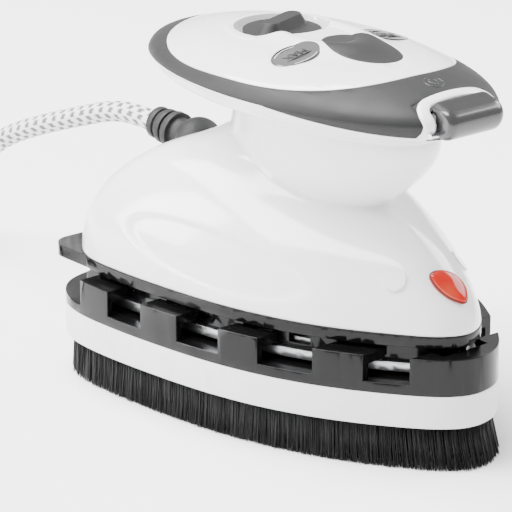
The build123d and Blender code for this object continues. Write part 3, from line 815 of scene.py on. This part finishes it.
def arc_through(first, middle, last, count):
    """Points on the circle arc through three points, without the last."""
    (ax, ay), (bx, by), (cx, cy) = first, middle, last
    d = 2 * (ax * (by - cy) + bx * (cy - ay) + cx * (ay - by))
    a2, b2, c2 = ax**2 + ay**2, bx**2 + by**2, cx**2 + cy**2
    ux = (a2 * (by - cy) + b2 * (cy - ay) + c2 * (ay - by)) / d
    uy = (a2 * (cx - bx) + b2 * (ax - cx) + c2 * (bx - ax)) / d
    radius = math.hypot(ax - ux, ay - uy)
    start, through, end = (math.atan2(y - uy, x - ux) for x, y in (first, middle, last))
    sweep = (end - start) % (2 * math.pi)
    if (through - start) % (2 * math.pi) > sweep:
        sweep -= 2 * math.pi
    turns = start + sweep * np.arange(count) / count
    return np.column_stack([ux + radius * np.cos(turns), uy + radius * np.sin(turns)])


def lens_outline():
    """The half-moon outline in the lens plane, with softened points."""
    upper, lower = (-3.4, 5.0), (2.4, -5.6)
    line = np.concatenate(
        [
            arc_through(upper, (4.4, 2.3), lower, 48),
            arc_through(lower, (-2.6, -1.1), upper, 48),
        ]
    )
    for _ in range(5):
        line = (np.roll(line, 1, 0) + line * 2 + np.roll(line, -1, 0)) / 4
    return line


def add_lens():
    """The indicator lens: a clear red half-moon that bulges from the nose, with a painted
    reflection at its lower left and a painted shadow line round it.
    """
    outline = lens_outline()
    centre = outline.mean(0)
    rings = []
    for kept, height in [(1.0, -1.6), (1.0, 0.25), (0.985, 0.6)] + [
        (math.cos(t), 0.6 + 1.15 * math.sin(t)) for t in np.linspace(0.25, 1.5, 14)
    ]:
        flat = centre + (outline - centre) * kept
        rings.append(
            LENS_AT
            + flat[:, :1] * LENS_ACROSS
            + flat[:, 1:] * LENS_UP
            + height * LENS_OUT
        )
    points = np.array(rings)
    made, tree_nodes, links, shader = new_material("red_lens")
    glow = noise(tree_nodes, links, 2.4, 2.0)
    links.new(
        two_tone(tree_nodes, links, glow, (0.24, 0.001, 0.0), (0.34, 0.006, 0.001)),
        shader.inputs["Base Color"],
    )
    # Painted reflection: a peach patch mixed into the emission colour, strongest near a spot on the
    # lens's lower left, stands in for a reflection.
    away = tree_nodes.new("ShaderNodeVectorMath")
    away.operation = "DISTANCE"
    painted_reflection_spot = LENS_AT - 1.3 * LENS_ACROSS - 1.6 * LENS_UP
    away.inputs[1].default_value = tuple(painted_reflection_spot * MM)
    place = tree_nodes.new("ShaderNodeTexCoord")
    links.new(place.outputs["Object"], away.inputs[0])
    painted_reflection_weight = tree_nodes.new("ShaderNodeMapRange")
    painted_reflection_weight.inputs["From Min"].default_value = 1.2 * MM
    painted_reflection_weight.inputs["From Max"].default_value = 3.6 * MM
    painted_reflection_weight.inputs["To Min"].default_value = 1.0
    painted_reflection_weight.inputs["To Max"].default_value = 0.0
    links.new(away.outputs["Value"], painted_reflection_weight.inputs["Value"])
    glow_with_painted_reflection = two_tone(tree_nodes, links, painted_reflection_weight.outputs["Result"], (0.8, 0.03, 0.0), (1.0, 0.26, 0.09))
    links.new(glow_with_painted_reflection, shader.inputs["Emission Color"])
    shader.inputs["Emission Strength"].default_value = 0.3
    shader.inputs["Roughness"].default_value = 0.08
    shader.inputs["Coat Weight"].default_value = 0.1
    shader.inputs["Specular IOR Level"].default_value = 0.3
    links.new(relief(tree_nodes, links, glow, 0.02, 0.2), shader.inputs["Normal"])
    add_mesh(
        "lens_dome",
        points.reshape(-1, 3),
        ring_faces(len(points), points.shape[1], caps=(False, True)),
        made,
        "iron",
        ["indicator_lens", "neon_lamp"],
    )
    # Painted shadow: a thin dark tube round the lens stands in for the shadow line where the lens
    # meets the body.
    rim = centre + (outline - centre) * 1.03
    line = LENS_AT + rim[:, :1] * LENS_ACROSS + rim[:, 1:] * LENS_UP + 0.1 * LENS_OUT
    tube("lens_shade_line", line, 0.16, DARK_PRINT_AND_SHADE, "iron", "white_gloss", True)


add_lens()


def add_spring():
    """The button's return spring, a copy of the CAD node that rides on the iron."""
    mesh = nodes["button_spring"].data.copy()
    spring = bpy.data.objects.new("return_spring", mesh)
    bpy.context.scene.collection.objects.link(spring)
    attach(spring, "iron")
    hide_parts("button_spring")
    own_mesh(spring)


add_spring()

# ---- bristles -------------------------------------------------------------------------
TUFT_PITCH, RIM_STEP, PER_TUFT, TUFT_R = 2.15, 0.0125, 9, 0.55
BRISTLE_R, BRISTLE_SIDES, BRISTLE_INSET = 0.13, 3, 2.9


def add_bristles():
    """Tufts of thin filaments under the ring, the outer ones splaying a little."""
    field = grown(BASE, FRAME_GROW - BRISTLE_INSET)
    half_turns = np.linspace(-math.pi, math.pi, 720, endpoint=False)
    far = reach(field, 0, half_turns)
    tufts = []
    for row, y in enumerate(np.arange(-45, 45.1, TUFT_PITCH * 0.866)):
        for x in np.arange(-70, 71, TUFT_PITCH) + (row % 2) * TUFT_PITCH / 2:
            limit = np.interp(math.atan2(y, x), half_turns, far, period=2 * math.pi)
            if math.hypot(x, y) < limit:
                tufts.append((x, y))
    for turn in np.arange(-math.pi, math.pi, RIM_STEP):
        limit = np.interp(turn, half_turns, far, period=2 * math.pi)
        tufts.append((limit * math.cos(turn), limit * math.sin(turn)))
    tufts = np.array(tufts)
    roots = np.repeat(tufts, PER_TUFT, 0)
    n = len(roots)
    spread_r = TUFT_R * np.sqrt(rng.random(n))
    spread_a = rng.random(n) * 2 * math.pi
    roots = roots + np.stack([spread_r * np.cos(spread_a), spread_r * np.sin(spread_a)], 1)
    turn = np.arctan2(roots[:, 1], roots[:, 0])
    limit = np.interp(turn, half_turns, far, period=2 * math.pi)
    radius = np.hypot(roots[:, 0], roots[:, 1])
    near_rim = np.clip(1 - (limit - radius) / 6.0, 0, 1)
    lean = (0.5 + 3.2 * np.clip(np.cos(turn), 0, 1) ** 6) * near_rim
    tips = roots + np.stack([np.cos(turn), np.sin(turn)], 1) * lean[:, None]
    tips = tips + rng.normal(0, 0.33, (n, 2))
    top, low = RING_LOW + 4.0, rng.random(n) * 0.5 + 0.02
    middles = roots * 0.62 + tips * 0.38
    sides = BRISTLE_SIDES
    rings = []
    for place, z, wide in (
        (roots, np.full(n, top), BRISTLE_R),
        (middles, (top + low) / 2, BRISTLE_R),
        (tips, low, BRISTLE_R * 0.75),
    ):
        for k in range(sides):
            a = spread_a + 2 * math.pi * k / sides
            rings.append(
                np.stack([place[:, 0] + wide * np.cos(a), place[:, 1] + wide * np.sin(a), z], 1)
            )
    points = np.stack(rings, 1).reshape(-1, 3)
    per = 3 * sides
    faces = []
    for i in range(n):
        s = i * per
        for r in (0, 1):
            for k in range(sides):
                m = (k + 1) % sides
                a, b = s + r * sides, s + (r + 1) * sides
                faces.append((a + k, b + k, b + m, a + m))
        faces.append((s + 6, s + 8, s + 7))
        faces.append((s + 0, s + 1, s + 2))
    look = MATERIALS["bristle_black"]
    add_mesh("bristle_field", points, faces, look, "brush", ["bristles"])


add_bristles()

# ---- cord -----------------------------------------------------------------------------
BALL = Vector((-49.3, 0, 63.5))
GUARD_DIR = Vector((-math.cos(math.radians(4.2)), 0, math.sin(math.radians(4.2))))
CORD_R = CORD_D / 2
# The route from the guard to the floor and the coil; its turns follow by formula.
ROUTE = [
    tuple(BALL + GUARD_DIR * 3.2),
    (-70.0, 0.0, 65.0),
    (-88.0, 0.5, 64.3),
    (-107.0, 0.0, 57.8),
    (-127.0, -0.8, 50.6),
    (-147.0, 0.0, 42.0),
    (-165.0, 0.6, 28.5),
    (-181.0, 0.2, 12.0),
    (-200.0, -0.6, CORD_R + 0.05),
    (-217.0, 0.0, CORD_R + 0.02),
]
COIL_X, COIL_Y, COIL_OUT = -224.0, -41.3, 41.3
TURN_STEP, TURN_POINTS, BOTTOM_TURNS, TOP_TURNS = 6.38, 24, 3, 2.5
PLUG_X, PLUG_Y, PLUG_Z = -166.0, -68.0, 12.0
TAIL = [(-206.0, -82.0, 9.8), (-190.0, -71.5, 11.2), (PLUG_X - 6.0, PLUG_Y, PLUG_Z)]


def coil_points():
    """Three turns inwards on the floor, then out again on top of them."""
    low, high = CORD_R + 0.02, CORD_R * 3 + 0.03
    fuller = 1 / math.cos(math.pi / TURN_POINTS)
    points = []
    for i in range(1, int((BOTTOM_TURNS + TOP_TURNS) * TURN_POINTS) + 1):
        turns = i / TURN_POINTS
        whole = int(turns)
        late = min(max((turns - whole - 0.7) / 0.3, 0), 1)
        late = late * late * (3 - 2 * late)
        if whole < BOTTOM_TURNS - 1:
            rings_in, z = whole + late, low
        elif whole < BOTTOM_TURNS:
            rings_in, z = BOTTOM_TURNS - 1, low + (high - low) * late
        else:
            rings_in, z = BOTTOM_TURNS - 1 - (whole - BOTTOM_TURNS) - late, high
        r = (COIL_OUT - TURN_STEP * rings_in) * fuller
        angle = math.pi / 2 + 2 * math.pi * turns
        points.append((COIL_X + r * math.cos(angle), COIL_Y + r * math.sin(angle), z))
    return points


def spline_line(points):
    """Points close together along the NURBS spline that has these control points."""
    curve = bpy.data.curves.new("line", "CURVE")
    curve.dimensions = "3D"
    curve.resolution_u = 16
    spline = curve.splines.new("NURBS")
    spline.points.add(len(points) - 1)
    for point, place in zip(spline.points, points):
        point.co = (*[c * MM for c in place], 1)
    spline.order_u = 3
    spline.use_endpoint_u = True
    holder = bpy.data.objects.new("line", curve)
    bpy.context.scene.collection.objects.link(holder)
    bpy.context.view_layer.update()
    mesh = bpy.data.meshes.new_from_object(holder)
    line = np.array([v.co[:] for v in mesh.vertices]) / MM
    bpy.data.objects.remove(holder)
    return line


def carried_frames(line):
    """Two directions across the line at each point, carried along it without twist."""
    along = np.gradient(line, axis=0)
    along /= np.linalg.norm(along, axis=1)[:, None]
    across = np.zeros_like(line)
    side = np.array([0.0, 1.0, 0.0])
    for i, direction in enumerate(along):
        side = side - direction * side.dot(direction)
        side /= np.linalg.norm(side)
        across[i] = side
    return across, np.cross(along, across)


def add_cord():
    """The braided lead: a tube whose surface is woven, with grey flecks in checks."""
    line, along = resampled(spline_line(ROUTE + coil_points() + TAIL), 0.5)
    across, other = carried_frames(line)
    around = 48
    turn = np.arange(around) * 2 * math.pi / around
    s, phi = np.meshgrid(along, turn, indexing="ij")
    strands, pitch, weave = 18, 21.0, 0.22
    a = strands * (phi / (2 * math.pi) + s / pitch)
    b = strands * (phi / (2 * math.pi) - s / pitch)
    pillow = np.sqrt(np.abs(np.sin(math.pi * a) * np.sin(math.pi * b)))
    radius = CORD_R - weave + weave * pillow
    points = (
        line[:, None, :]
        + radius[..., None] * np.cos(phi)[..., None] * across[:, None, :]
        + radius[..., None] * np.sin(phi)[..., None] * other[:, None, :]
    )
    rows, cell = 10, 2.4
    lane = phi * rows / (2 * math.pi)
    run = s / cell + 0.35 * np.sin(lane * 2.1)
    odd = (np.floor(lane) + np.floor(run)) % 2
    u, v = lane % 1, run % 1
    fleck = odd * (np.abs(u - 0.5) < 0.42) * (np.abs(v - 0.5) < 0.44)
    piece = add_mesh(
        "lead",
        points.reshape(-1, 3),
        ring_faces(len(line), around, caps=(True, True)),
        braid_material(),
        "lead",
        ["cord", "cord_coil", "cord_tail"],
    )
    mark = piece.data.attributes.new("fleck", "FLOAT", "POINT")
    mark.data.foreach_set("value", fleck.reshape(-1).astype(np.float32))


def braid_material():
    """White yarn with grey flecks, and fine fibres along it."""
    made, tree_nodes, links, shader = new_material("braid")
    mark = tree_nodes.new("ShaderNodeAttribute")
    mark.attribute_name = "fleck"
    fibre = noise(tree_nodes, links, 0.16, 3.0)
    white = two_tone(tree_nodes, links, fibre, (0.62, 0.62, 0.62), (0.9, 0.9, 0.9))
    grey = two_tone(tree_nodes, links, fibre, (0.05, 0.052, 0.056), (0.13, 0.133, 0.14))
    mix = tree_nodes.new("ShaderNodeMix")
    mix.data_type = "RGBA"
    links.new(mark.outputs["Fac"], mix.inputs["Factor"])
    links.new(white, mix.inputs["A"])
    links.new(grey, mix.inputs["B"])
    links.new(mix.outputs["Result"], shader.inputs["Base Color"])
    links.new(relief(tree_nodes, links, fibre, 0.12), shader.inputs["Normal"])
    shader.inputs["Roughness"].default_value = 0.85
    shader.inputs["Sheen Weight"].default_value = 0.3
    return made


add_cord()
add_surround()

# ---- floor and light ------------------------------------------------------------------
def add_stage():
    """A large pale floor with a soft sweep of light."""
    made, tree_nodes, links, shader = new_material("floor")
    tone = noise(tree_nodes, links, 400.0, 2.0)
    links.new(
        two_tone(tree_nodes, links, tone, (0.93, 0.93, 0.93), (0.96, 0.96, 0.96)),
        shader.inputs["Base Color"],
    )
    shader.inputs["Roughness"].default_value = 0.6
    mesh = bpy.data.meshes.new("floor")
    side = 6.0
    mesh.from_pydata(
        [(-side, -side, 0), (side, -side, 0), (side, side, 0), (-side, side, 0)], [], [(0, 1, 2, 3)]
    )
    mesh.materials.append(made)
    floor = bpy.data.objects.new("floor", mesh)
    bpy.context.scene.collection.objects.link(floor)


def add_light(name, place, size, power, target=(0, 0, 0.05)):
    """A soft rectangular light aimed at the object."""
    data = bpy.data.lights.new(name, "AREA")
    data.shape = "RECTANGLE"
    data.size, data.size_y = size
    data.energy = power
    lamp = bpy.data.objects.new(name, data)
    lamp.location = place
    lamp.rotation_euler = (
        (Vector(target) - Vector(place)).to_track_quat("-Z", "Y").to_euler()
    )
    bpy.context.scene.collection.objects.link(lamp)


add_stage()
world = bpy.data.worlds.new("studio")
world.use_nodes = True
sky = world.node_tree.nodes["Background"]
sky.inputs["Color"].default_value = (1, 1, 1, 1)
sky.inputs["Strength"].default_value = 1.0
bpy.context.scene.world = world
add_light("key", (-0.35, -0.35, 1.25), (1.2, 1.0), 84)
add_light("left", (-0.75, -0.85, 0.55), (0.35, 0.8), 20)
add_light("back", (0.2, 1.1, 0.8), (1.0, 0.5), 16)
